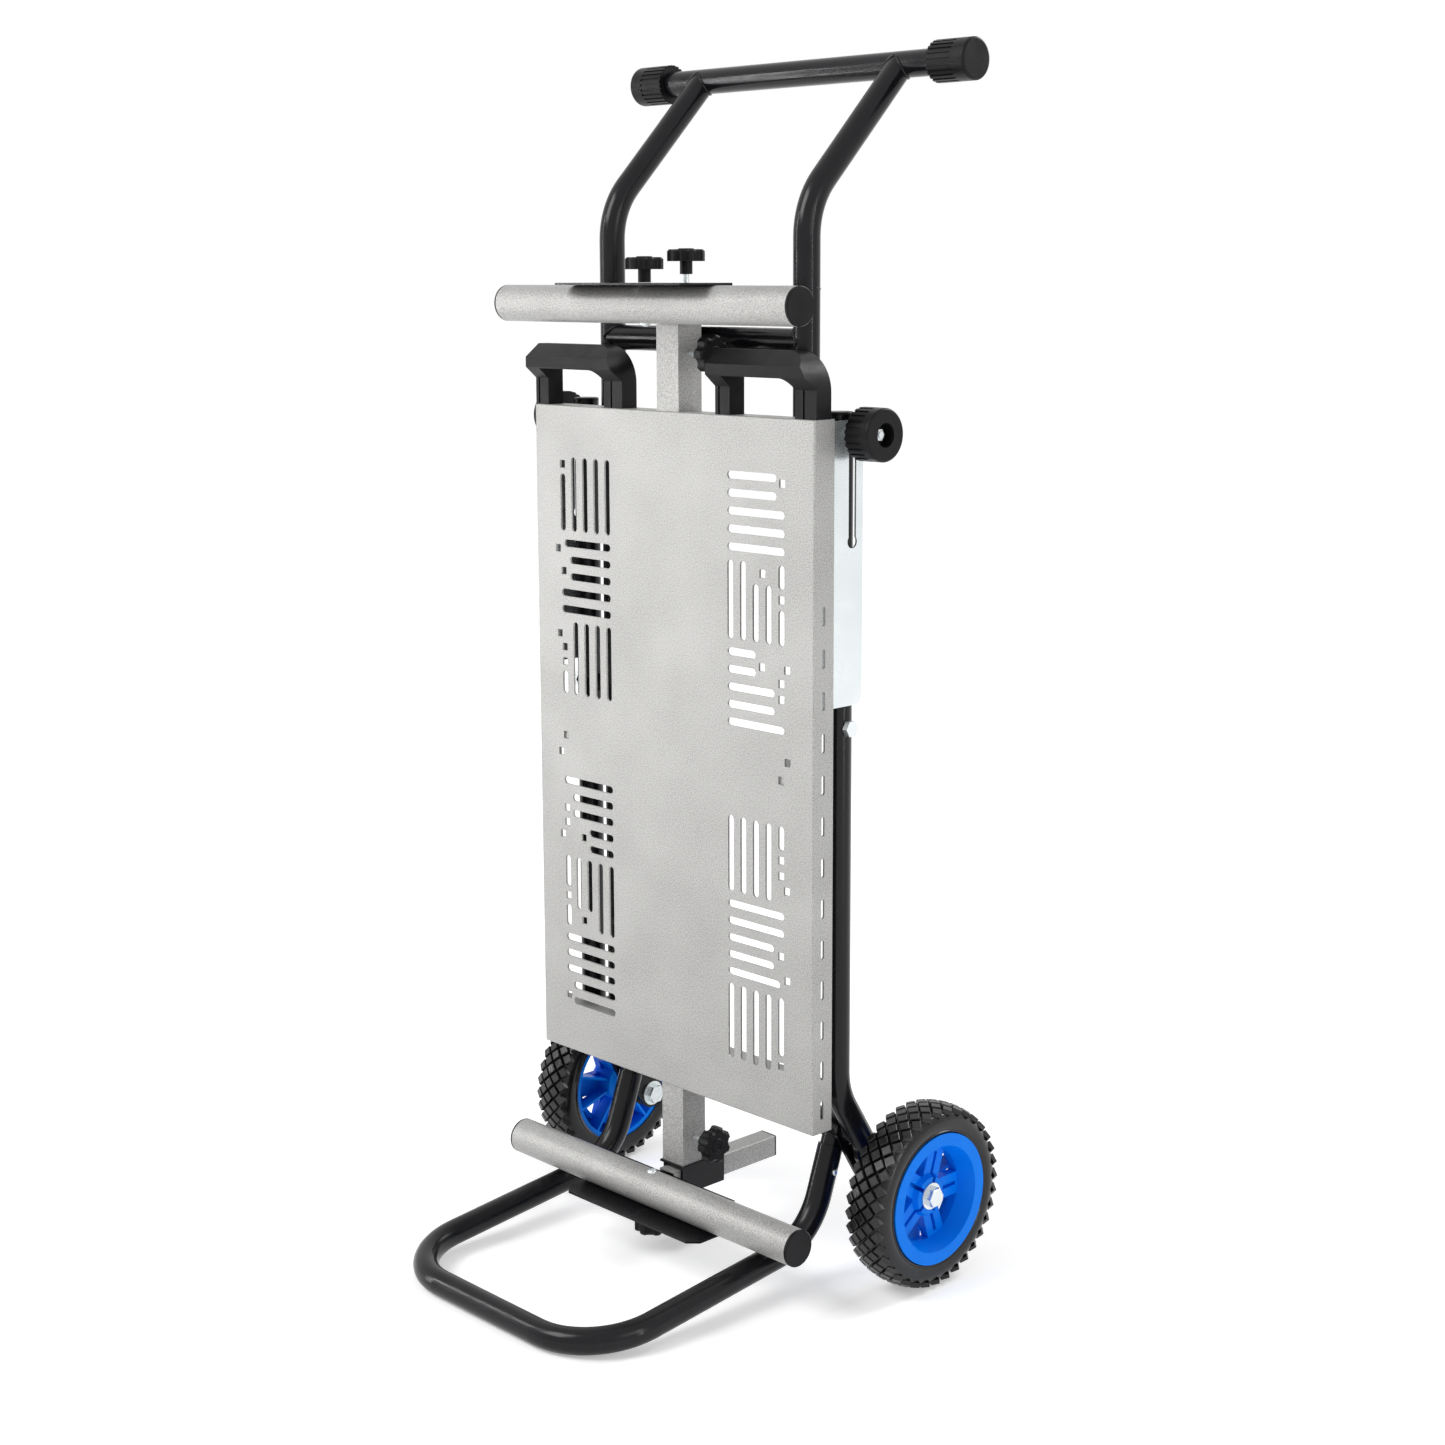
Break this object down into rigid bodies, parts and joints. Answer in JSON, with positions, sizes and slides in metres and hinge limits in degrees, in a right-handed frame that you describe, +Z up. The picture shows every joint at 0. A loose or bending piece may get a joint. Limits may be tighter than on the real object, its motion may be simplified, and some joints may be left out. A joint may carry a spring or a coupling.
{
  "type": "folding miter saw stand",
  "caption": "Folding saw stand, folded upright: a slotted steel table with sliding work supports, bent tube legs on wheels, a toe loop and a bent tube handle.",
  "frame": {"origin": "on the floor, at the middle of the bounding box, with the stand folded and upright", "axes": "+Z up; +Y from the table's working face to the back, where the wheels are; +X to the right of someone who faces the table's working face"},
  "size_m": [0.498, 0.4534, 1.1715],
  "materials": {
    "black_paint": "gloss black powder coat",
    "grey_paint": "light grey metallic powder coat",
    "zinc": "bright zinc plate",
    "black_plastic": "satin black moulded plastic",
    "blue_plastic": "glossy bright blue moulded plastic",
    "tyre": "black rubber with a block tread"
  },
  "bodies": {
    "wheel_frame": {"wheel_frame": "black_paint", "axle_brackets": "black_paint", "leg_plugs": "black_plastic", "toe_loop": "black_paint", "axle_bolts": "zinc", "axle_nuts": "zinc", "axle_washers": "zinc", "axle_spacers": "zinc", "pivot_bolts": "zinc", "pivot_spacers": "black_plastic", "pivot_nuts": "zinc", "lock_pin_left": "zinc", "lock_pin_right": "zinc"},
    "left_wheel": {"tyre_left": "tyre", "rim_left": "blue_plastic", "wheel_bush_left": "black_plastic"},
    "right_wheel": {"tyre_right": "tyre", "rim_right": "blue_plastic", "wheel_bush_right": "black_plastic"},
    "left_toe_button": {"toe_button_left": "zinc"},
    "right_toe_button": {"toe_button_right": "zinc"},
    "left_lock_grip": {"lock_grip_left": "black_plastic"},
    "right_lock_grip": {"lock_grip_right": "black_plastic"},
    "handle_frame": {"handle_tubes": "black_paint", "handle_top": "black_paint", "bar_caps": "black_plastic"},
    "table": {"table_top": "grey_paint", "spine": "grey_paint", "cross_channels": "grey_paint", "side_brackets": "zinc", "grab_handles": "black_plastic", "hinge_ears": "zinc", "hinge_bolts": "zinc", "hinge_nuts": "zinc"},
    "upper_extension": {"upper_arm": "grey_paint", "upper_head": "black_paint"},
    "upper_support": {"upper_post": "grey_paint", "upper_post_plug": "black_plastic", "upper_support_plate": "black_paint", "upper_support_bar": "grey_paint", "upper_support_caps": "black_plastic"},
    "upper_arm_knob": {"upper_arm_knob": "black_plastic", "upper_arm_stud": "zinc"},
    "upper_sleeve_knob": {"upper_sleeve_knob": "black_plastic", "upper_sleeve_stud": "zinc"},
    "upper_bar_knob": {"upper_bar_knob": "black_plastic"},
    "lower_extension": {"lower_arm": "grey_paint", "lower_head": "black_paint"},
    "lower_support": {"lower_post": "grey_paint", "lower_post_plug": "black_plastic", "lower_support_plate": "black_paint", "lower_support_bar": "grey_paint", "lower_support_caps": "black_plastic"},
    "lower_arm_knob": {"lower_arm_knob": "black_plastic", "lower_arm_stud": "zinc"},
    "lower_sleeve_knob": {"lower_sleeve_knob": "black_plastic", "lower_sleeve_stud": "zinc"},
    "lower_bar_knob": {"lower_bar_knob": "black_plastic"}
  },
  "joints": [
    {"name": "fold", "type": "hinge", "parent": "wheel_frame", "child": "handle_frame", "pos_m": [0, 0.0708, 0.548], "axis": [-1, 0, 0], "range_deg": [0, 65.34]},
    {"name": "table_hinge", "type": "hinge", "parent": "handle_frame", "child": "table", "pos_m": [0, 0.0708, 0.185], "axis": [1, 0, 0], "range_deg": [0, 27.59]},
    {"name": "upper_extension", "type": "slide", "parent": "table", "child": "upper_extension", "axis": [0, 0, 1], "range_m": [0, 0.28]},
    {"name": "lower_extension", "type": "slide", "parent": "table", "child": "lower_extension", "axis": [0, 0, -1], "range_m": [0, 0.101]},
    {"name": "left_wheel", "type": "hinge", "parent": "wheel_frame", "child": "left_wheel", "pos_m": [-0.227, 0.1372, 0.0895], "axis": [1, 0, 0], "continuous": true},
    {"name": "right_wheel", "type": "hinge", "parent": "wheel_frame", "child": "right_wheel", "pos_m": [0.227, 0.1372, 0.0895], "axis": [1, 0, 0], "continuous": true},
    {"name": "left_lock_grip", "type": "hinge", "parent": "wheel_frame", "child": "left_lock_grip", "pos_m": [-0.217, 0.0708, 0.819], "axis": [1, 0, 0], "range_deg": [0, 180]},
    {"name": "right_lock_grip", "type": "hinge", "parent": "wheel_frame", "child": "right_lock_grip", "pos_m": [0.217, 0.0708, 0.819], "axis": [1, 0, 0], "range_deg": [0, 180]},
    {"name": "left_toe_button", "type": "slide", "parent": "wheel_frame", "child": "left_toe_button", "axis": [1, 0, 0], "range_m": [0, 0.002], "stiffness_N_per_m": 200},
    {"name": "right_toe_button", "type": "slide", "parent": "wheel_frame", "child": "right_toe_button", "axis": [-1, 0, 0], "range_m": [0, 0.002], "stiffness_N_per_m": 200},
    {"name": "upper_support", "type": "slide", "parent": "upper_extension", "child": "upper_support", "axis": [0, -1, 0], "range_m": [0, 0.07]},
    {"name": "upper_arm_knob", "type": "hinge", "parent": "table", "child": "upper_arm_knob", "pos_m": [0.038, 0.0358, 0.887], "axis": [1, 0, 0], "range_deg": [0, 180]},
    {"name": "upper_sleeve_knob", "type": "hinge", "parent": "upper_extension", "child": "upper_sleeve_knob", "pos_m": [0, 0.0458, 0.9704], "axis": [0, 0, 1], "range_deg": [0, 180]},
    {"name": "upper_bar_knob", "type": "hinge", "parent": "upper_support", "child": "upper_bar_knob", "pos_m": [0, -0.0072, 0.9704], "axis": [0, 0, 1], "range_deg": [0, 180]},
    {"name": "lower_support", "type": "slide", "parent": "lower_extension", "child": "lower_support", "axis": [0, -1, 0], "range_m": [0, 0.07]},
    {"name": "lower_arm_knob", "type": "hinge", "parent": "table", "child": "lower_arm_knob", "pos_m": [0.038, 0.0358, 0.115], "axis": [1, 0, 0], "range_deg": [0, 180]},
    {"name": "lower_sleeve_knob", "type": "hinge", "parent": "lower_extension", "child": "lower_sleeve_knob", "pos_m": [0, 0.0458, 0.0316], "axis": [0, 0, -1], "range_deg": [0, 180]},
    {"name": "lower_bar_knob", "type": "hinge", "parent": "lower_support", "child": "lower_bar_knob", "pos_m": [0, -0.0072, 0.0316], "axis": [0, 0, -1], "range_deg": [0, 180]}
  ],
  "couplings": [
    {"joint": "table_hinge", "follows": "fold", "ratio": 0.42073},
    {"joint": "lower_extension", "follows": "fold", "m_per_rad": 0.087687}
  ]
}
